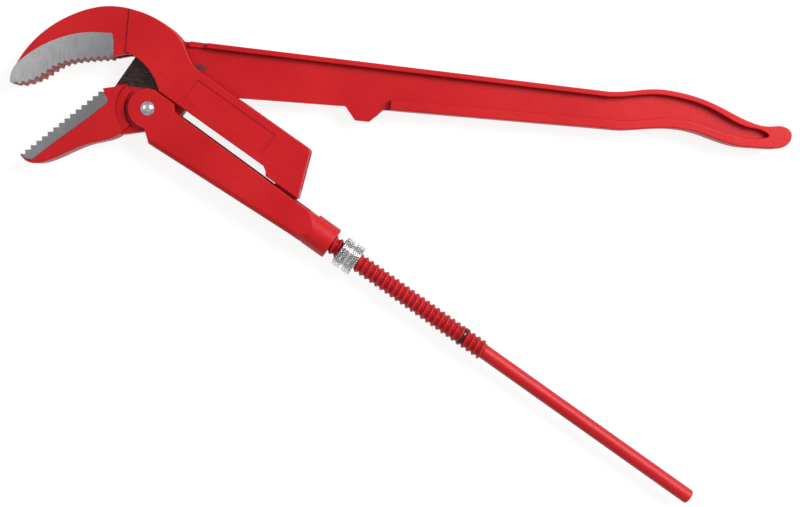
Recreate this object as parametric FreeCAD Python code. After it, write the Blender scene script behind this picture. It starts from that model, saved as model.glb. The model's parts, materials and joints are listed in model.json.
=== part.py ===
import FreeCAD, Part
import math
import os

# Swedish-pattern pipe wrench, lying on its side, in millimetres.
# X runs along the threaded handle bar towards its free end, Z is square to the tool,
# and z = 0 is the middle plane. Outlines are drawn from HEAD, the foot of the pivot on the bar axis.
# The written parts have their origin in the middle of the smooth grip.

# driving dimensions
BAR_END = 533.0
HANDLE_LENGTH = 507.2
PLATE_THICKNESS = 12.0
BODY_THICKNESS = 26.0
JAW_THICKNESS = 23.0
LOWER_JAW_THICKNESS = 21.0
SIDE_PLAY = 0.3
PIVOT_Y = 3.6
PIN_RADIUS = 5.0
PIN_PLAY = 0.05
EAR_RADIUS = 15.6
THREAD_PITCH = 5.0
THREAD_RADIUS = 8.04
THREAD_DEPTH = 1.84
THREAD_PLAY = 0.35
BAR_RADIUS = 6.0
END_ROUNDING = 1.8
NUT_RADIUS = 13.2
NUT_LENGTH = 17.1
BOSS_RADIUS = 13.3
PAD_RELIEF = 0.6

# positions along the bar
TONGUE_START = 115.3
FOOT_END = 137.3
THREAD_START = 139.8
THREAD_END = 328.0
BOSS_START = 159.0
BOSS_END = 179.6
NUT_START = 187.3
RING_CENTRE = 307.7
RING_WIDTH = 2.6

# derived sizes
PLATE_HALF = PLATE_THICKNESS / 2
SLOT_HALF = PLATE_HALF + SIDE_PLAY
BODY_HALF = BODY_THICKNESS / 2
JAW_HALF = JAW_THICKNESS / 2
LOWER_JAW_HALF = LOWER_JAW_THICKNESS / 2
WEB_HALF = 0.63 * PLATE_HALF
FLANGE_HALF = 0.73 * BODY_HALF
ECCENTRICITY = THREAD_DEPTH / 2
CORE_RADIUS = THREAD_RADIUS - ECCENTRICITY
CHANNEL_HALF = THREAD_RADIUS + THREAD_PLAY + 0.3
TONGUE_HALF = CHANNEL_HALF - SIDE_PLAY - 0.1
CHANNEL_FLOOR = -(THREAD_RADIUS + THREAD_PLAY + 0.8)
TONGUE_FLOOR = CHANNEL_FLOOR + 0.6
RECESS_RADIUS = EAR_RADIUS + 10.3
GUIDE_Y = 19.6
FOOT_Y = 14.0
GRIP_MIDDLE = (THREAD_END + BAR_END - END_ROUNDING) / 2
PIVOT = (0.0, PIVOT_Y)


def vector(point, z=0.0):
    return FreeCAD.Vector(point[0], point[1], z)


def outline(start, *runs):
    """Closed wire: each run goes on from the last point, straight to one point, by an arc through two,
    or smoothly through more."""
    edges = []
    here = start
    closing = [] if runs[-1][-1] == start else [[start]]
    for run in list(runs) + closing:
        points = [vector(point) for point in [here] + run]
        here = run[-1]
        if len(run) == 1:
            edges.append(Part.makeLine(points[0], points[1]))
        elif len(run) == 2:
            edges.append(Part.Arc(points[0], points[1], points[2]).toShape())
        else:
            curve = Part.BSplineCurve()
            curve.interpolate(points)
            edges.append(curve.toShape())
    return Part.Wire(edges)


def slab(wire, half, low=None):
    """Prism on a flat outline from z = low (or -half) up to z = half."""
    bottom = -half if low is None else low
    face = Part.Face(wire)
    face.translate(FreeCAD.Vector(0, 0, bottom))
    return face.extrude(FreeCAD.Vector(0, 0, half - bottom))


def round_rims(solid, half, radius, shortest=0.0):
    """Round the edges in the two flat faces z = +half and z = -half; those under shortest stay sharp."""
    rims = []
    for edge in solid.Edges:
        box = edge.BoundBox
        if box.ZLength < 1e-6 and abs(abs(box.ZMin) - half) < 1e-6 and edge.Length > shortest:
            rims.append(edge)
    return solid.makeFillet(radius, rims)


def round_corner(solid, corner, radius):
    """Round the upright edge of a slab that stands at corner."""
    uprights = []
    for edge in solid.Edges:
        box = edge.BoundBox
        if box.XLength + box.YLength < 1e-6 and math.hypot(box.XMin - corner[0], box.YMin - corner[1]) < 1e-3:
            uprights.append(edge)
    return solid.makeFillet(radius, uprights)


def box(x0, x1, y0, y1, half, low=None):
    bottom = -half if low is None else low
    return Part.makeBox(x1 - x0, y1 - y0, half - bottom, FreeCAD.Vector(x0, y0, bottom))


def bar(x0, x1, radius):
    """Round bar along X on the bar axis."""
    return Part.makeCylinder(radius, x1 - x0, FreeCAD.Vector(x0, 0, 0), FreeCAD.Vector(1, 0, 0))


def post(radius, half, centre=PIVOT):
    """Round post along Z, as tall above the middle plane as below it."""
    return Part.makeCylinder(radius, 2 * half, vector(centre, -half))


STEPS_PER_TURN = 8


def thread_solid(x0, x1, core):
    """Knuckle-thread solid: a circle of radius core carried along a small right-handed helix.
    Every turn is a face of its own."""
    steps = max(8, int(round((x1 - x0) / THREAD_PITCH * STEPS_PER_TURN)))
    helix_points = []
    for i in range(steps + 1):
        x = x0 + (x1 - x0) * i / steps
        turn = 2 * math.pi * (x - THREAD_START) / THREAD_PITCH
        helix_points.append(FreeCAD.Vector(x, ECCENTRICITY * math.cos(turn), ECCENTRICITY * math.sin(turn)))
    helix = Part.BSplineCurve()
    helix.interpolate(helix_points)

    diagonal = math.sqrt(0.5)
    ring = [(1, 0), (1, 1), (0, 1), (-1, 1), (-1, 0), (-1, -1), (0, -1), (1, -1), (1, 0)]
    ring_weights = [1, diagonal, 1, diagonal, 1, diagonal, 1, diagonal, 1]
    poles = []
    weights = []
    for pole in helix.getPoles():
        poles.append([pole + FreeCAD.Vector(0, core * y, core * z) for y, z in ring])
        weights.append(ring_weights)
    surface = Part.BSplineSurface()
    surface.buildFromPolesMultsKnots(
        poles, helix.getMultiplicities(), [3, 2, 2, 2, 3], helix.getKnots(), [0, 0.25, 0.5, 0.75, 1],
        False, False, helix.Degree, 2, weights)

    knots = helix.getKnots()
    last_start = len(knots) - STEPS_PER_TURN // 2
    breaks = knots[:last_start:STEPS_PER_TURN] + [knots[-1]]
    faces = []
    for start, end in zip(breaks, breaks[1:]):
        turn = surface.copy()
        turn.segment(start, end, 0, 1)
        faces.append(turn.toShape())
    for end, side in ((helix_points[0], faces[0]), (helix_points[-1], faces[-1])):
        rim = []
        for edge in side.Edges:
            if edge.BoundBox.XLength < 1e-4 and abs(edge.BoundBox.XMin - end.x) < 1e-3:
                rim.append(edge)
        faces.append(Part.Face(Part.Wire(rim)))
    shell = Part.makeShell(faces)
    shell.sewShape()
    return Part.makeSolid(shell)


def tooth_row(points, count, rise, lean):
    """Zigzag along a smooth root line: count teeth that rise to its left, each tip at the share lean."""
    root = Part.BSplineCurve()
    root.interpolate([vector(point) for point in points])
    pitch = root.length() / count
    zigzag = []
    for i in range(count):
        for distance, height in ((i * pitch, 0.0), ((i + lean) * pitch, rise)):
            parameter = root.parameterAtDistance(distance)
            place = root.value(parameter)
            along = root.tangent(parameter)[0]
            zigzag.append((place.x - height * along.y, place.y + height * along.x))
    zigzag.append(points[-1])
    return zigzag


def polygon(points):
    return Part.makePolygon([vector(point) for point in points + [points[0]]])


# upper jaw -----------------------------------------------------------------------------------------

HOOK_ROOT = [(-96.4, -38.6), (-84.0, -22.4), (-78.7, -9.2), (-65.8, 5.9), (-38.7, 28.3)]


def hook_mouth():
    """Everything on the mouth side of the hook teeth."""
    teeth = tooth_row(HOOK_ROOT, 17, -2.4, 0.5)
    return slab(polygon([(-97.6, -44.9)] + teeth + [(-28.0, 21.0), (-40.0, -45.0)]), 2 * BODY_HALF)


def hook_jaw():
    """Toothed end of the hook, a little thinner than the slotted body."""
    back = [(-104.4, -26.7), (-104.3, -10.1), (-98.9, 12.4), (-88.6, 32.3), (-70.5, 51.8), (-55.8, 59.7),
            (-40.4, 63.7)]
    jaw = slab(outline((-100.7, -41.9), back, [(-27.4, 34.9)], [(-38.1, 28.8)], [(-54.9, 11.6)],
                       [(-76.9, -17.6)], [(-94.1, -41.7)]), JAW_HALF)
    return round_rims(jaw, JAW_HALF, 1.2, 60.0)


def hook_pad():
    """Ground face of the hook, standing proud on both sides."""
    crown = [(-103.8, -26.8), (-102.3, -20.4), (-98.6, -10.1), (-92.7, 1.4), (-84.6, 13.0), (-76.2, 22.0),
             (-65.6, 29.9), (-58.3, 34.5)]
    return slab(outline((-100.4, -41.5), crown, [(-56.1, 35.5), (-54.6, 34.3)],
                        [(-51.0, 30.0), (-45.1, 20.4)], [(-76.9, -17.5)], [(-94.1, -41.4)]),
                JAW_HALF + PAD_RELIEF)


def hook_body():
    """Slotted body, tail and foot: two cheeks joined at the hook end and at the foot."""
    shoulder = [(-40.5, 64.2), (-32.5, 65.3), (-20.5, 65.5), (-10.1, 63.2), (1.9, 56.7), (9.3, 52.5),
                (16.3, 51.2), (24.5, 51.2)]
    tail_corner = (123.3, 51.6)
    throat = [(-13.4, 27.7), (-26.9, 30.9), (-39.2, 29.5)]
    body = slab(outline((-56.2, 59.0), shoulder, [tail_corner], [(FOOT_END, FOOT_Y)], [(106.2, FOOT_Y)],
                        [(104.4, 16.9)], [(100.0, GUIDE_Y)], [(-0.4, GUIDE_Y)], throat), BODY_HALF)
    body = round_rims(round_corner(body, tail_corner, 4.0), BODY_HALF, 1.0, 3.5)
    panel = box(19.6, 93.8, 26.2, 44.9, 2 * BODY_HALF, BODY_HALF - 0.5)
    return body.cut(panel)


def plate_slot():
    """Slot between the cheeks, open to the mouth and along the whole outer side, closed by the foot."""
    return slab(outline((-65.0, 80.0), [(-47.5, 30.0)], [(-47.5, 5.0)], [(TONGUE_START, 5.0)],
                        [(TONGUE_START, 16.5)], [(FOOT_END, 22.0)], [(160.0, 22.0)], [(160.0, 80.0)]),
                SLOT_HALF)


def foot_tongue():
    """Block that hangs from the foot into the channel of the arm and holds the bar."""
    return box(TONGUE_START, FOOT_END - 1.0, TONGUE_FLOOR, FOOT_Y + 3.0, TONGUE_HALF)


def upper_jaw():
    hook = hook_jaw().fuse(hook_pad()).cut(hook_mouth())
    whole = hook.fuse(hook_body()).cut(plate_slot()).fuse(foot_tongue())
    return whole.cut(bar(TONGUE_START + 4.0, FOOT_END, BAR_RADIUS)).removeSplitter()


# bar and stop ring ---------------------------------------------------------------------------------

RING_BORE = CORE_RADIUS - ECCENTRICITY - 0.6


def handle_rod():
    groove_start = RING_CENTRE - RING_WIDTH / 2
    groove_end = RING_CENTRE + RING_WIDTH / 2
    rod = bar(TONGUE_START + 4.0, THREAD_START, BAR_RADIUS)
    rod = rod.fuse(thread_solid(THREAD_START, groove_start, CORE_RADIUS))
    rod = rod.fuse(bar(groove_start, groove_end, RING_BORE))
    rod = rod.fuse(thread_solid(groove_end, THREAD_END, CORE_RADIUS))
    grip = bar(THREAD_END, BAR_END, BAR_RADIUS)
    end_rim = [edge for edge in grip.Edges if edge.BoundBox.XMin > BAR_END - 1e-3]
    return rod.fuse(grip.makeFillet(END_ROUNDING, end_rim))


def stop_ring():
    width = RING_WIDTH - 0.2
    ring = bar(RING_CENTRE - width / 2, RING_CENTRE + width / 2, THREAD_RADIUS - 0.1)
    rims = [edge for edge in ring.Edges if edge.BoundBox.XLength < 1e-6]
    ring = ring.makeFillet(0.7, rims)
    return ring.cut(bar(RING_CENTRE - width, RING_CENTRE + width, RING_BORE))


# sliding arm and pivot pin -------------------------------------------------------------------------

EAR_TOP_Y = GUIDE_Y - 0.8
EAR_TOP_X = -math.sqrt(EAR_RADIUS ** 2 - (EAR_TOP_Y - PIVOT_Y) ** 2)


def around_pivot(radius, degrees):
    angle = math.radians(degrees)
    return (radius * math.cos(angle), PIVOT_Y + radius * math.sin(angle))


def arm_sides():
    """Side view of the arm carried through its full thickness, its long lower edges well rounded."""
    ear = [around_pivot(EAR_RADIUS, 180), (EAR_TOP_X, EAR_TOP_Y)]
    flank = [(EAR_RADIUS - 0.8, EAR_TOP_Y), (19.6, 13.4), (146.6, 11.6), (BOSS_START + 1.0, 11.6),
             (BOSS_START + 1.0, -12.6), (146.6, -12.8), (21.3, -18.7), (16.2, -19.0), (13.8, -16.2)]
    straights = [[point] for point in flank + [around_pivot(EAR_RADIUS, -65)]]
    sides = slab(outline((EAR_TOP_X, EAR_TOP_Y), *straights, ear), BODY_HALF)
    lower = []
    upper = []
    for edge in sides.Edges:
        box = edge.BoundBox
        if box.ZLength < 1e-6 and box.XLength > 4.0:
            if box.XLength > 60.0 and box.YMax < 0:
                lower.append(edge)
            elif box.YMax > -10:
                upper.append(edge)
    return sides.makeFillet(5.0, lower).common(sides.makeFillet(0.8, upper))


def sliding_arm():
    """Channel that carries the pivot in two ears at one end and a round boss at the other."""
    taper = Part.makeCone(BODY_HALF + 6.5, BOSS_RADIUS, 15.0, FreeCAD.Vector(BOSS_START - 15.0, 0, 0),
                          FreeCAD.Vector(1, 0, 0))
    sides = arm_sides()
    head = sides.common(box(-40.0, BOSS_START - 15.0, -40.0, 40.0, 2 * BODY_HALF))
    neck = sides.common(taper)
    boss = bar(BOSS_START, BOSS_END, BOSS_RADIUS)
    end_rim = [edge for edge in boss.Edges if edge.BoundBox.XMin > BOSS_END - 1e-3]
    arm = head.fuse(neck).fuse(boss.makeFillet(1.2, end_rim))
    ear_gap = box(-40.0, 16.0, -40.0, 40.0, SLOT_HALF)
    plate_gap = box(15.0, 28.0, -12.5, 40.0, SLOT_HALF)
    channel = box(27.0, BOSS_START - 8.0, CHANNEL_FLOOR, 40.0, CHANNEL_HALF)
    bore = bar(BOSS_START - 9.0, BOSS_END + 1.0, THREAD_RADIUS + THREAD_PLAY)
    for hollow in (ear_gap, plate_gap, channel, bore, post(PIN_RADIUS, 2 * BODY_HALF)):
        arm = arm.cut(hollow)
    return arm.removeSplitter()


def pivot_pin():
    """Rivet pin with a domed head on each side."""
    head_radius = 1.14 * PIN_RADIUS
    head_height = 0.5 * PIN_RADIUS
    sphere_radius = (head_radius ** 2 + head_height ** 2) / (2 * head_height)
    pin = post(PIN_RADIUS, BODY_HALF)
    for side in (1, -1):
        ball = Part.makeSphere(sphere_radius, vector(PIVOT, side * (BODY_HALF + head_height - sphere_radius)))
        base = BODY_HALF if side > 0 else -BODY_HALF - head_height
        layer = Part.makeCylinder(head_radius, head_height, vector(PIVOT, base))
        pin = pin.fuse(ball.common(layer))
    return pin.removeSplitter()


# lower jaw and handle ------------------------------------------------------------------------------

HANDLE_ANGLE = math.radians(29.5)
HANDLE_ROOT = (-15.0, 28.8)
PLATE_LEFT = -32.0
PLATE_RIGHT = 23.5
FLANGE_START = (8.4, 72.9)
LUG_START = (156.3, 113.6)
LOWER_ROOT = [(-35.6, -5.4), (-46.7, -42.9), (-58.2, -81.6)]


def on_handle(points):
    """Points given from the handle tip: along the handle and across it, towards its outer edge."""
    cosine = math.cos(HANDLE_ANGLE)
    sine = math.sin(HANDLE_ANGLE)
    placed = []
    for along, across in points:
        distance = HANDLE_LENGTH + along
        placed.append((HANDLE_ROOT[0] + distance * cosine - across * sine,
                       HANDLE_ROOT[1] + distance * sine + across * cosine))
    return placed


def handle_edges():
    """Outer edge of the handle from the straight upper side round the tip to the straight lower side."""
    upper = on_handle([(-146.4, 21.7)])
    tip = on_handle([(-128.8, 24.1), (-110.2, 27.4), (-90.4, 26.8), (-64.2, 21.2), (-31.6, 9.2),
                     (-17.2, 7.6), (-6.0, 8.6), (0.2, 4.8), (0.4, -2.0), (-5.6, -8.0), (-18.3, -9.8),
                     (-39.7, -10.4), (-57.3, -7.2), (-76.6, -2.7), (-95.5, -1.8), (-107.0, -3.0),
                     (-126.6, -6.4), (-143.0, -7.4)])
    return upper, tip


def handle_web():
    """Thin leg of the handle between and beyond the flanges.
    The lug under it keeps fingers out of the gap."""
    upper, tip = handle_edges()
    lug = [(151.2, 110.3), (149.3, 102.6), (147.4, 96.3), (137.6, 90.8), (125.0, 95.5)]
    lower = [[point] for point in lug + [(53.6, 52.4), (PLATE_RIGHT, 35.7), (PLATE_RIGHT, 22.0)]]
    return slab(outline((PLATE_LEFT, 31.0), [(-9.2, 62.6)], upper, tip, [LUG_START], *lower,
                        [(PLATE_LEFT, 22.0)]), WEB_HALF)


def handle_flanges():
    """Flange along both edges and round the tip."""
    upper, tip = handle_edges()
    inner = on_handle([(-142.1, -0.0), (-128.3, 0.7), (-108.8, 4.2), (-96.6, 5.5), (-77.1, 4.5), (-57.6, 0.2),
                       (-40.8, -2.9), (-23.6, -2.5), (-17.3, 0.2), (-21.9, 3.1), (-32.8, 4.8), (-65.4, 16.8),
                       (-90.8, 22.4), (-109.8, 23.1), (-128.7, 19.9), (-146.3, 17.5)])
    flanges = slab(outline(FLANGE_START, upper, tip, [LUG_START], [(152.1, 120.6)], [inner[0]], inner[1:],
                           [(10.6, 69.2)]), FLANGE_HALF)
    return round_rims(flanges, FLANGE_HALF, 1.0, 10.0)


def lower_jaw():
    """Thick toothed jaw up to the round recess about the pivot, before its teeth are cut."""
    recess = [around_pivot(RECESS_RADIUS, 208), around_pivot(RECESS_RADIUS, 256)]
    heel = [(-8.0, -28.3), (-21.4, -45.0), (-33.1, -62.8), (-43.3, -78.6), (-49.1, -84.0), (-56.1, -86.0)]
    jaw = slab(outline((-37.9, -3.8), [(-31.8, 1.8)], [around_pivot(RECESS_RADIUS, 167)], recess, heel,
                       [(-61.5, -84.5)], [(-59.3, -79.2)]), LOWER_JAW_HALF)
    return round_rims(jaw, LOWER_JAW_HALF, 1.2, 60.0)


def lower_pad():
    """Ground face of the lower jaw, standing proud on both sides."""
    return slab(outline((-56.3, -84.4), [(-51.6, -82.2)], [(-44.3, -58.8)], [(-35.7, -34.4)],
                        [(-29.3, -13.5)], [(-29.0, -10.4), (-30.4, -8.3)], [(-33.2, -7.4), (-36.7, -5.5)],
                        [(-46.0, -5.5)], [(-61.7, -83.4)]), LOWER_JAW_HALF + PAD_RELIEF)


def lower_mouth():
    """Everything on the mouth side of the lower teeth."""
    teeth = tooth_row(LOWER_ROOT, 14, -2.7, 0.66)
    return slab(polygon(teeth + [(-63.5, -85.2), (-75.0, -85.1), (-71.2, 6.6), (-38.2, -4.0)]), 2 * BODY_HALF)


def neck_plate():
    """Plate that turns between the ears and passes through the slot of the upper jaw."""
    hub = [around_pivot(EAR_RADIUS + 1.5, -30), around_pivot(EAR_RADIUS + 1.5, -45)]
    return slab(outline((PLATE_LEFT, -4.0), [(PLATE_LEFT, 31.0)], [(-21.0, 45.7)], [(PLATE_RIGHT, 40.0)],
                        [(PLATE_RIGHT, 10.0)], [around_pivot(EAR_RADIUS + 1.5, -15)], hub, [(3.4, -16.6)],
                        [(-3.1, -22.6)], [(-9.5, -28.4)], [(-23.4, -20.6)]), PLATE_HALF)


def recess_step():
    """Raised ring on the plate between the ear and the wall of the recess."""
    step = post(RECESS_RADIUS + 0.5, PLATE_HALF + 1.6).cut(post(RECESS_RADIUS - 6.6, BODY_HALF))
    sector = polygon([PIVOT, around_pivot(60.0, 167), around_pivot(60.0, 212), around_pivot(60.0, 256)])
    return step.common(slab(sector, BODY_HALF))


def lower_jaw_handle():
    rib = slab(outline((-2.9, 66.6), [(10.5, 73.7)], [(12.5, 70.8)], [(-1.1, 62.4)],
                       [(-3.7, 63.9), (-2.9, 66.6)]), PLATE_HALF)
    whole = lower_jaw().fuse(lower_pad()).cut(lower_mouth())
    for piece in (neck_plate(), recess_step(), handle_web(), handle_flanges(), rib):
        whole = whole.fuse(piece)
    return whole.cut(post(PIN_RADIUS + PIN_PLAY, BODY_HALF)).removeSplitter()


# adjusting nut -------------------------------------------------------------------------------------

def adjusting_nut():
    """Ring nut with two gripping bands and a shallow groove between them."""
    groove_width = 0.33 * NUT_LENGTH
    middle = NUT_START + NUT_LENGTH / 2
    nut = bar(NUT_START, NUT_START + NUT_LENGTH, NUT_RADIUS)
    rims = [edge for edge in nut.Edges if edge.BoundBox.XLength < 1e-6]
    nut = nut.makeFillet(0.9, rims)
    band = bar(middle - groove_width / 2, middle + groove_width / 2, NUT_RADIUS + 1.0)
    nut = nut.cut(band.cut(bar(NUT_START, NUT_START + NUT_LENGTH, NUT_RADIUS - 0.8)))
    return nut.cut(thread_solid(NUT_START - 3.0, NUT_START + NUT_LENGTH + 3.0, CORE_RADIUS + THREAD_PLAY))


PARTS = {
    "upper_jaw": upper_jaw,
    "handle_rod": handle_rod,
    "stop_ring": stop_ring,
    "sliding_arm": sliding_arm,
    "pivot_pin": pivot_pin,
    "lower_jaw_handle": lower_jaw_handle,
    "adjusting_nut": adjusting_nut,
}

os.makedirs("parts", exist_ok=True)
for node, build in PARTS.items():
    shape = build()
    shape.translate(FreeCAD.Vector(-GRIP_MIDDLE, 0, 0))
    shape.exportStep("parts/%s.step" % node)
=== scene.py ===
import json
import math

import bpy
from mathutils import Matrix, Vector


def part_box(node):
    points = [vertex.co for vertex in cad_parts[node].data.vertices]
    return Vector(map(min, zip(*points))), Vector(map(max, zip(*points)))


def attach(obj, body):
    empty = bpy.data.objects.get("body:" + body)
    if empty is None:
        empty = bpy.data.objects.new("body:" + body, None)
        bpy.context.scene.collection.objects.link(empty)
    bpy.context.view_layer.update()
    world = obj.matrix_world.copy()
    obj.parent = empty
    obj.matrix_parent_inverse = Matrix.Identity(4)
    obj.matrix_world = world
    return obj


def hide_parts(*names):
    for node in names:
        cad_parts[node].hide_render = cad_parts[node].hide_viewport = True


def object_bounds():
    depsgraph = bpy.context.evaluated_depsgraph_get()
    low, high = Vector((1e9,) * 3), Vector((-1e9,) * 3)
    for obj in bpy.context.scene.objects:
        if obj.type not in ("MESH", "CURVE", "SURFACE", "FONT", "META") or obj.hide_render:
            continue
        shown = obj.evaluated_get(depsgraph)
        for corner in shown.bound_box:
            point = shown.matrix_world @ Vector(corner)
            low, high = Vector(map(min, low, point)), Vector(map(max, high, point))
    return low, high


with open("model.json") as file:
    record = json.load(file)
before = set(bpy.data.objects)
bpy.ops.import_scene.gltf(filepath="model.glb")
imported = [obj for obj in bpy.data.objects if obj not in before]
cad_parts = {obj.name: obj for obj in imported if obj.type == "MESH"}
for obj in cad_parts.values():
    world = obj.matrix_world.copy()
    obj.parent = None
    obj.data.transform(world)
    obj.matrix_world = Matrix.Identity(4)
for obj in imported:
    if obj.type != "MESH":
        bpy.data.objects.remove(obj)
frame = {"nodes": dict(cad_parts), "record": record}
cad_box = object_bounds()

MM = 0.001

# HEAD is the foot of the pivot on the bar axis. The bar runs from it along +X.
hinge = next(joint for joint in frame["record"]["behaviour"]["joints"] if joint["name"] == "jaw_hinge")
HEAD = Vector((hinge["pos_m"][0], 0.0, 0.0))

VIEW_DISTANCE = 1.07
VIEW_TILT = math.radians(-3.0)
VIEW_ROLL = math.radians(35.45)
FOCAL_LENGTH = 60.2
VIEW_CENTRE = HEAD + Vector((228.4 * MM, 25.2 * MM, 0.0))
VIEW_RIGHT = Vector((math.cos(VIEW_ROLL), math.sin(VIEW_ROLL), 0.0))
VIEW_UP = Vector((-math.sin(VIEW_ROLL), math.cos(VIEW_ROLL), 0.0))

# Where the materials change, in millimetres from HEAD.
THREAD_END_X = 328.0
# The roots of the thread get painted shade between the flank and root radii.
THREAD_ROOT_RADIUS = 6.4
THREAD_FLANK_RADIUS = 7.5
NUT_RADIUS_MM = 13.2
# The knurl valleys get painted shade below the top radius, deepest at the shade radius.
KNURL_TOP_RADIUS = NUT_RADIUS_MM - 0.10
KNURL_SHADE_RADIUS = NUT_RADIUS_MM - 0.45
GROOVE_TOP_RADIUS = NUT_RADIUS_MM - 0.69
PLATE_HALF_THICKNESS = 6.4

# Height of the ground faces of the two jaws, and how far from HEAD they end.
HOOK_PAD_Z = 12.1 * MM
LOWER_PAD_Z = 11.1 * MM
PAD_TOLERANCE = 0.05 * MM
PAD_END = 20.0 * MM


# node helpers ------------------------------------------------------------------------------------

class Nodes:
    """Short ways to add shader nodes to one material and link them."""

    def __init__(self, name):
        self.material = bpy.data.materials.new(name)
        self.material.use_nodes = True
        self.tree = self.material.node_tree
        self.shader = self.tree.nodes["Principled BSDF"]
        self.place = self.add("ShaderNodeTexCoord").outputs["Object"]

    def add(self, kind, **settings):
        node = self.tree.nodes.new(kind)
        for key, value in settings.items():
            setattr(node, key, value)
        return node

    def feed(self, value, socket):
        if isinstance(value, bpy.types.NodeSocket):
            self.tree.links.new(value, socket)
        else:
            socket.default_value = value

    def shade(self, **values):
        """Feed the shader's sockets, named in capitals with underscores for spaces."""
        for name, value in values.items():
            self.feed(value, self.shader.inputs[name.replace("_", " ")])
        return self.material

    def math(self, operation, *values, clamp=False):
        node = self.add("ShaderNodeMath", operation=operation, use_clamp=clamp)
        for socket, value in zip(node.inputs, values):
            self.feed(value, socket)
        return node.outputs[0]

    def coordinates(self, scale=(1.0, 1.0, 1.0), turn=0.0):
        """Place turned by an angle about Z, then scaled."""
        turned = self.add("ShaderNodeMapping")
        self.feed((0.0, 0.0, turn), turned.inputs["Rotation"])
        self.feed(self.place, turned.inputs["Vector"])
        scaled = self.add("ShaderNodeMapping")
        self.feed(scale, scaled.inputs["Scale"])
        self.feed(turned.outputs[0], scaled.inputs["Vector"])
        return scaled.outputs[0]

    def head_mm(self):
        """X, Y and Z in millimetres from HEAD."""
        node = self.add("ShaderNodeMapping")
        self.feed((1 / MM, 1 / MM, 1 / MM), node.inputs["Scale"])
        self.feed(tuple(-value / MM for value in HEAD), node.inputs["Location"])
        self.feed(self.place, node.inputs["Vector"])
        split = self.add("ShaderNodeSeparateXYZ")
        self.feed(node.outputs[0], split.inputs[0])
        return split.outputs

    def noise(self, scale, detail=3.0, roughness=0.5, vector=None):
        node = self.add("ShaderNodeTexNoise")
        self.feed(scale, node.inputs["Scale"])
        self.feed(detail, node.inputs["Detail"])
        self.feed(roughness, node.inputs["Roughness"])
        self.feed(vector or self.place, node.inputs["Vector"])
        return node.outputs["Fac"]

    def ramp(self, value, low, high, start=0.0, end=1.0):
        node = self.add("ShaderNodeMapRange", clamp=True)
        for socket, number in zip(("Value", "From Min", "From Max", "To Min", "To Max"),
                                  (value, low, high, start, end)):
            self.feed(number, node.inputs[socket])
        return node.outputs[0]

    def mix(self, factor, first, second):
        node = self.add("ShaderNodeMix", data_type="RGBA")
        self.feed(factor, node.inputs["Factor"])
        for socket, value in ((node.inputs[6], first), (node.inputs[7], second)):
            self.feed((*value, 1.0) if isinstance(value, tuple) else value, socket)
        return node.outputs[2]

    def blend(self, factor, first, second):
        """The same for plain numbers."""
        node = self.add("ShaderNodeMix", data_type="FLOAT")
        for socket, value in zip(node.inputs[:1] + node.inputs[2:4], (factor, first, second)):
            self.feed(value, socket)
        return node.outputs[0]

    def bump(self, height, distance, under=None):
        node = self.add("ShaderNodeBump")
        self.feed(distance, node.inputs["Distance"])
        self.feed(height, node.inputs["Height"])
        if under is not None:
            self.feed(under, node.inputs["Normal"])
        return node.outputs[0]

    def soft_edges(self, radius):
        node = self.add("ShaderNodeBevel", samples=4)
        self.feed(radius, node.inputs["Radius"])
        return node.outputs[0]

    def upright(self):
        """About 1 on faces that stand square to the flat sides of the tool and 0 on the flat sides."""
        split = self.add("ShaderNodeSeparateXYZ")
        self.feed(self.add("ShaderNodeNewGeometry").outputs["Normal"], split.inputs[0])
        return self.ramp(self.math("ABSOLUTE", split.outputs["Z"]), 0.70, 0.15)

    def from_axis(self):
        """Distance in millimetres from the axis of the bar."""
        squares = [self.math("MULTIPLY", value, value) for value in self.head_mm()[1:]]
        return self.math("SQRT", self.math("ADD", *squares))

    def edge_mask(self, radius):
        """About 1 within the radius of a sharp edge and 0 on open faces."""
        geometry = self.add("ShaderNodeNewGeometry")
        product = self.add("ShaderNodeVectorMath", operation="DOT_PRODUCT")
        self.feed(self.soft_edges(radius), product.inputs[0])
        self.feed(geometry.outputs["Normal"], product.inputs[1])
        return self.ramp(product.outputs["Value"], 0.98, 0.80)


# materials ---------------------------------------------------------------------------------------

RED = (0.470, 0.0050, 0.0090)
LIGHT_RED = (0.550, 0.0110, 0.0140)
DEEP_RED = (0.240, 0.0025, 0.0055)
DARK_METAL = (0.026, 0.012, 0.011)
GREY_METAL = (0.110, 0.080, 0.075)
WORN_METAL = (0.060, 0.045, 0.048)


def enamel(nodes):
    """Colour, roughness and normal of semi-gloss red enamel over a forged surface.
    It has painted shade on the upright sides and along the edges, and is darker in the pits."""
    cloud = nodes.noise(14.0, 4.0)
    speckle = nodes.noise(1100.0, 2.0, 0.7)
    colour = nodes.mix(nodes.ramp(cloud, 0.36, 0.66), RED, LIGHT_RED)
    colour = nodes.mix(nodes.ramp(speckle, 0.52, 0.30, 0.0, 0.40), colour, DEEP_RED)
    # Painted shade: the upright sides are darkened towards deep red.
    colour = nodes.mix(nodes.math("MULTIPLY", nodes.upright(), 0.75), colour, DEEP_RED)
    # Painted shade: a thin band along every edge is darkened towards deep red.
    colour = nodes.mix(nodes.math("MULTIPLY", nodes.edge_mask(0.6 * MM), 0.7), colour, DEEP_RED)
    roughness = nodes.ramp(speckle, 0.3, 0.7, 0.50, 0.36)
    normal = nodes.bump(nodes.noise(70.0, 2.0), 0.22 * MM, under=nodes.soft_edges(0.45 * MM))
    normal = nodes.bump(nodes.noise(480.0, 3.0), 0.09 * MM, under=normal)
    normal = nodes.bump(speckle, 0.035 * MM, under=normal)
    return colour, roughness, normal


def red_enamel():
    nodes = Nodes("red_enamel")
    colour, roughness, normal = enamel(nodes)
    return nodes.shade(Base_Color=colour, Roughness=roughness, Normal=normal, IOR=1.30)


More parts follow.
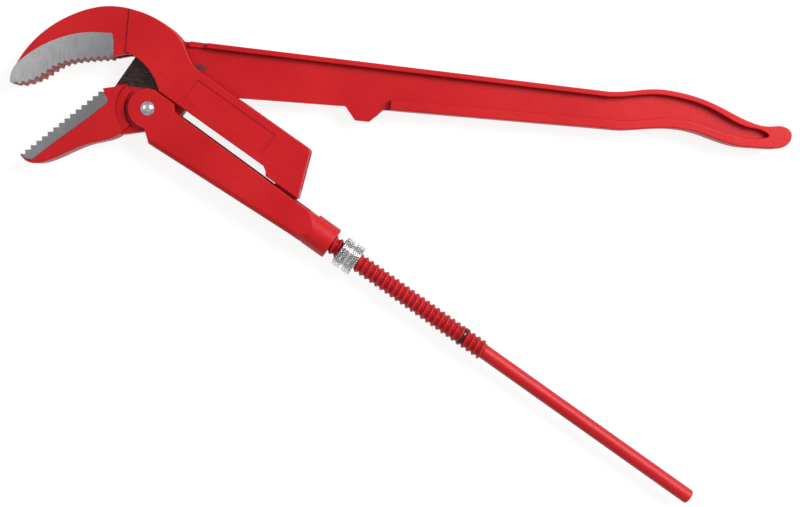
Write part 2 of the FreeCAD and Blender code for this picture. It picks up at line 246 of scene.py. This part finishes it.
def bar_enamel():
    """Red enamel with painted shade in the roots of the thread."""
    nodes = Nodes("bar_enamel")
    colour, roughness, normal = enamel(nodes)
    in_thread = nodes.ramp(nodes.head_mm()[0], THREAD_END_X + 1.0, THREAD_END_X - 1.0)
    # Painted shade in the thread roots, deepening towards the axis.
    painted_root_shade = nodes.ramp(nodes.from_axis(), THREAD_FLANK_RADIUS, THREAD_ROOT_RADIUS, 0.0, 0.9)
    painted_root_shade = nodes.math("MULTIPLY", painted_root_shade, in_thread)
    return nodes.shade(Base_Color=nodes.mix(painted_root_shade, colour, DEEP_RED), Roughness=roughness, Normal=normal,
                       IOR=1.34)


PAINT_LINE_SLOPE = 0.55
PAINT_LINE_Y = 21.5
WEB_START_Y = 46.0
SPOT_ALONG = 38.5
SPOT_ACROSS = 39.5
SPOT_HALF_LENGTH = 6.0
SPOT_HALF_WIDTH = 3.0
HANDLE_COSINE = 0.87
HANDLE_SINE = 0.49


def bare_plate(nodes, x, y, z, wander):
    """About 1 on the neck plate above a slanting line and before the web of the handle."""
    above = nodes.math("SUBTRACT", y, nodes.math("MULTIPLY", x, PAINT_LINE_SLOPE))
    above = nodes.math("SUBTRACT", above, PAINT_LINE_Y)
    above = nodes.ramp(nodes.math("ADD", above, wander), -1.2, 1.2)
    in_plate = nodes.ramp(nodes.math("ABSOLUTE", z), PLATE_HALF_THICKNESS + 0.6, PLATE_HALF_THICKNESS)
    before_web = nodes.ramp(nodes.math("ADD", y, wander), WEB_START_Y + 4.0, WEB_START_Y)
    return nodes.math("MULTIPLY", nodes.math("MULTIPLY", above, in_plate), before_web)


def rubbed_spot(nodes, x, y, wander):
    """Up to 0.8 in a ragged oval on the web, long in the direction of the handle."""
    along = nodes.math("ADD", nodes.math("MULTIPLY", x, HANDLE_COSINE),
                       nodes.math("MULTIPLY", y, HANDLE_SINE))
    across = nodes.math("ADD", nodes.math("MULTIPLY", x, -HANDLE_SINE),
                        nodes.math("MULTIPLY", y, HANDLE_COSINE))
    from_middle = [nodes.math("DIVIDE", nodes.math("SUBTRACT", along, SPOT_ALONG), SPOT_HALF_LENGTH),
                   nodes.math("DIVIDE", nodes.math("SUBTRACT", across, SPOT_ACROSS), SPOT_HALF_WIDTH)]
    reach = nodes.math("ADD", *[nodes.math("MULTIPLY", offset, offset) for offset in from_middle])
    reach = nodes.math("ADD", reach, nodes.math("MULTIPLY", wander, 0.4))
    return nodes.math("MULTIPLY", nodes.ramp(reach, 1.5, 0.2), 0.8)


def leg_enamel():
    """Red enamel with the paint left off the neck plate above a slanting line, and rubbed off the web
    where the tail of the upper jaw passes over it."""
    nodes = Nodes("leg_enamel")
    colour, roughness, normal = enamel(nodes)
    x, y, z = nodes.head_mm()
    wander = nodes.ramp(nodes.noise(260.0, 4.0, 0.6), 0.25, 0.75, -2.0, 2.0)
    bare = bare_plate(nodes, x, y, z, wander)
    rubbed = rubbed_spot(nodes, x, y, wander)

    scratches = nodes.noise(1.0, 3.0, 0.6, nodes.coordinates((260.0, 2600.0, 900.0), math.radians(-30.0)))
    dark = nodes.mix(nodes.ramp(scratches, 0.40, 0.75), DARK_METAL, GREY_METAL)
    colour = nodes.mix(bare, colour, dark)
    colour = nodes.mix(rubbed, colour, WORN_METAL)
    metal = nodes.math("MAXIMUM", nodes.math("MULTIPLY", bare, 0.7), nodes.math("MULTIPLY", rubbed, 0.4))
    roughness = nodes.blend(bare, roughness, nodes.ramp(scratches, 0.3, 0.7, 0.30, 0.50))
    return nodes.shade(Base_Color=colour, Roughness=roughness, Normal=normal, Metallic=metal, IOR=1.30)


def ground_steel():
    """Bare steel with the fine scratches of a grinding belt, lighter towards the tips of the jaws."""
    nodes = Nodes("ground_steel")
    x = nodes.head_mm()[0]
    belt = nodes.coordinates((90.0, 3400.0, 90.0), math.radians(-118.0))
    streaks = nodes.noise(1.0, 4.0, 0.65, belt)
    blotches = nodes.noise(90.0, 4.0, 0.6)
    specks = nodes.noise(900.0, 1.0)
    depth = nodes.ramp(nodes.math("ADD", x, nodes.math("MULTIPLY", blotches, 30.0)), -85.0, -25.0)
    colour = nodes.mix(depth, (0.66, 0.66, 0.67), (0.30, 0.29, 0.31))
    colour = nodes.mix(nodes.ramp(streaks, 0.52, 0.30, 0.0, 0.75), colour, (0.16, 0.16, 0.17))
    colour = nodes.mix(nodes.ramp(specks, 0.30, 0.22, 0.0, 0.8), colour, (0.07, 0.06, 0.06))
    normal = nodes.bump(streaks, 0.02 * MM, under=nodes.soft_edges(0.2 * MM))
    return nodes.shade(Base_Color=colour, Roughness=nodes.ramp(streaks, 0.3, 0.7, 0.52, 0.34), Normal=normal,
                       Metallic=1.0)


def polished_steel():
    """Rivet head: bright steel with faint turning marks and a few dents."""
    nodes = Nodes("polished_steel")
    fine = nodes.noise(2600.0, 3.0)
    dents = nodes.noise(420.0, 2.0)
    colour = nodes.mix(nodes.ramp(dents, 0.35, 0.6), (0.45, 0.48, 0.54), (0.86, 0.88, 0.91))
    normal = nodes.bump(fine, 0.01 * MM, under=nodes.bump(dents, 0.03 * MM, under=nodes.soft_edges(0.3 * MM)))
    return nodes.shade(Base_Color=colour, Roughness=nodes.ramp(fine, 0.3, 0.7, 0.12, 0.26), Normal=normal,
                       Metallic=1.0)


def chrome():
    """Bright plating with a thin haze of handling marks, and painted shade in the valleys of the knurl."""
    nodes = Nodes("chrome_plate")
    haze = nodes.noise(500.0, 4.0, 0.6)
    colour = nodes.mix(nodes.ramp(haze, 0.35, 0.7), (0.88, 0.88, 0.89), (0.97, 0.97, 0.97))
    # Painted shade in the valleys of the knurl, so the diamonds read darker between their tops.
    painted_valley_shade = nodes.ramp(nodes.from_axis(), KNURL_TOP_RADIUS, KNURL_SHADE_RADIUS, 0.0, 0.95)
    in_knurl = nodes.ramp(nodes.from_axis(), GROOVE_TOP_RADIUS, GROOVE_TOP_RADIUS + 0.02)
    colour = nodes.mix(nodes.math("MULTIPLY", painted_valley_shade, in_knurl), colour, (0.03, 0.03, 0.035))
    normal = nodes.bump(haze, 0.02 * MM)
    return nodes.shade(Base_Color=colour, Roughness=nodes.ramp(haze, 0.3, 0.7, 0.24, 0.13), Normal=normal,
                       Metallic=1.0)


def black_steel():
    """Glossy blackened spring steel."""
    nodes = Nodes("black_steel")
    haze = nodes.noise(700.0, 3.0)
    colour = nodes.mix(nodes.ramp(haze, 0.35, 0.7), (0.006, 0.004, 0.005), (0.016, 0.012, 0.013))
    return nodes.shade(Base_Color=colour, Roughness=nodes.ramp(haze, 0.3, 0.7, 0.34, 0.18),
                       Normal=nodes.bump(haze, 0.02 * MM, under=nodes.soft_edges(0.2 * MM)))


def paint(node, material):
    """One material on the whole of a CAD node."""
    mesh = frame["nodes"][node].data
    mesh.materials.clear()
    mesh.materials.append(material)


def grind(node, height, material):
    """Second material on the flat faces of a jaw that stand at +height and -height."""
    mesh = frame["nodes"][node].data
    mesh.materials.append(material)
    for polygon in mesh.polygons:
        flat = abs(polygon.normal.z) > 0.999
        at_height = abs(abs(polygon.center.z) - height) < PAD_TOLERANCE
        if flat and at_height and polygon.center.x < HEAD.x - PAD_END:
            polygon.material_index = 1


def paint_frame():
    enamel_material = red_enamel()
    steel = ground_steel()
    for node in ("upper_jaw", "sliding_arm"):
        paint(node, enamel_material)
    paint("handle_rod", bar_enamel())
    paint("lower_jaw_handle", leg_enamel())
    paint("pivot_pin", polished_steel())
    paint("stop_ring", black_steel())
    grind("upper_jaw", HOOK_PAD_Z, steel)
    grind("lower_jaw_handle", LOWER_PAD_Z, steel)


# adjusting nut -----------------------------------------------------------------------------------

KNURL_STEPS = 480
KNURL_DIAMONDS = 40
KNURL_DEPTH = 0.65 * MM
KNURL_STEEPNESS = 3.5
BAND_SHARE = 0.42
BAND_STEPS = 30
GROOVE_DEPTH = 0.7 * MM
GROOVE_SLOPE = 0.2 * MM
CHAMFER = 0.8 * MM
BORE_RADIUS = 8.6 * MM
EDGE = 0.5 * MM


def triangle_wave(value):
    """1 at whole numbers and 0 halfway between them."""
    return abs(2.0 * (value % 1.0) - 1.0)


def knurl_radius(radius, along, turn):
    """Radius of a diamond knurl with flat tops at a place along and round the nut."""
    pitch = 2 * math.pi * radius / KNURL_DIAMONDS
    round_share = turn / (2 * math.pi) * KNURL_DIAMONDS
    ridge = min(triangle_wave(round_share + along / pitch), triangle_wave(round_share - along / pitch))
    return radius - KNURL_DEPTH * (1.0 - min(1.0, KNURL_STEEPNESS * ridge))


def nut_rows(low, high):
    """Stations along the nut from its bore at one end, over the outside, to its bore at the other:
    place, radius and whether that row is knurled."""
    radius = high.z
    band = BAND_SHARE * (high.x - low.x - 2 * CHAMFER)
    first_band = low.x + CHAMFER
    second_band = high.x - CHAMFER - band
    groove_radius = radius - GROOVE_DEPTH
    face_radius = radius - CHAMFER - EDGE
    rows = [(low.x, BORE_RADIUS + EDGE, False), (low.x, face_radius, False)]
    rows += [(first_band + band * i / BAND_STEPS, radius, True) for i in range(BAND_STEPS + 1)]
    rows += [(first_band + band + GROOVE_SLOPE, groove_radius, False),
             (second_band - GROOVE_SLOPE, groove_radius, False)]
    rows += [(second_band + band * i / BAND_STEPS, radius, True) for i in range(BAND_STEPS + 1)]
    rows += [(high.x, face_radius, False), (high.x, BORE_RADIUS + EDGE, False),
             (high.x - EDGE, BORE_RADIUS, False), (low.x + EDGE, BORE_RADIUS, False)]
    return rows


def knurled_nut():
    """The adjusting nut as a ring of rows, with a diamond knurl cut in the mesh of its two bands."""
    low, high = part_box("adjusting_nut")
    rows = nut_rows(Vector(low), Vector(high))
    vertices = []
    for x, radius, knurled in rows:
        for i in range(KNURL_STEPS):
            turn = 2 * math.pi * i / KNURL_STEPS
            reach = knurl_radius(radius, x - low[0], turn) if knurled else radius
            vertices.append((x, reach * math.cos(turn), reach * math.sin(turn)))
    faces = []
    for row in range(len(rows)):
        following = (row + 1) % len(rows)
        for i in range(KNURL_STEPS):
            j = (i + 1) % KNURL_STEPS
            faces.append((row * KNURL_STEPS + i, following * KNURL_STEPS + i,
                          following * KNURL_STEPS + j, row * KNURL_STEPS + j))
    mesh = bpy.data.meshes.new("knurled_nut")
    mesh.from_pydata(vertices, [], faces)
    mesh.flip_normals()
    mesh.materials.append(chrome())
    nut = bpy.data.objects.new("knurled_nut", mesh)
    bpy.context.collection.objects.link(nut)
    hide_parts("adjusting_nut")
    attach(nut, "nut")


# stage -------------------------------------------------------------------------------------------

FLOOR_HALF_WIDTH = 6.0


def floor():
    """Lit white table, as in a product photograph: it keeps only faint shadows."""
    z = cad_box[0][2]
    corners = [(VIEW_CENTRE.x + FLOOR_HALF_WIDTH * x, VIEW_CENTRE.y + FLOOR_HALF_WIDTH * y, z)
               for x, y in ((-1, -1), (1, -1), (1, 1), (-1, 1))]
    mesh = bpy.data.meshes.new("floor")
    mesh.from_pydata(corners, [], [(0, 1, 2, 3)])
    obj = bpy.data.objects.new("floor", mesh)
    bpy.context.collection.objects.link(obj)
    nodes = Nodes("floor_white")
    white = nodes.shade(Base_Color=(0.24, 0.24, 0.24, 1.0), Roughness=1.0, Specular_IOR_Level=0.0,
                        Emission_Color=(1.0, 1.0, 1.0, 1.0), Emission_Strength=0.84)
    mesh.materials.append(white)


def camera():
    """Nearly straight above the flat side of the tool, with the bar running down to the right."""
    back = Vector((0, 0, 1)) * math.cos(VIEW_TILT) - VIEW_UP * math.sin(VIEW_TILT)
    data = bpy.data.cameras.new("camera")
    data.lens = FOCAL_LENGTH
    data.clip_end = 20.0
    obj = bpy.data.objects.new("camera", data)
    bpy.context.collection.objects.link(obj)
    axes = Matrix((VIEW_RIGHT, back.cross(VIEW_RIGHT), back)).transposed().to_4x4()
    obj.matrix_world = Matrix.Translation(VIEW_CENTRE + VIEW_DISTANCE * back) @ axes
    bpy.context.scene.camera = obj


def area_light(name, right, up, height, size, power):
    """Square light aimed at the middle of the view, at metres right, up and above it."""
    data = bpy.data.lights.new(name, "AREA")
    data.size = size
    data.energy = power
    obj = bpy.data.objects.new(name, data)
    obj.location = VIEW_CENTRE + right * VIEW_RIGHT + up * VIEW_UP + Vector((0, 0, height))
    obj.rotation_euler = (VIEW_CENTRE - obj.location).to_track_quat("-Z", "Y").to_euler()
    bpy.context.collection.objects.link(obj)


def studio():
    area_light("key", 1.0, 0.6, 1.1, 0.8, 30.0)
    area_light("fill", -1.2, 0.5, 1.1, 0.8, 3.0)
    world = bpy.data.worlds.new("studio")
    world.use_nodes = True
    background = world.node_tree.nodes["Background"]
    background.inputs["Color"].default_value = (1.0, 1.0, 1.0, 1.0)
    background.inputs["Strength"].default_value = 0.42
    bpy.context.scene.world = world
    bpy.context.scene.view_settings.view_transform = "Standard"


paint_frame()
knurled_nut()
floor()
camera()
studio()
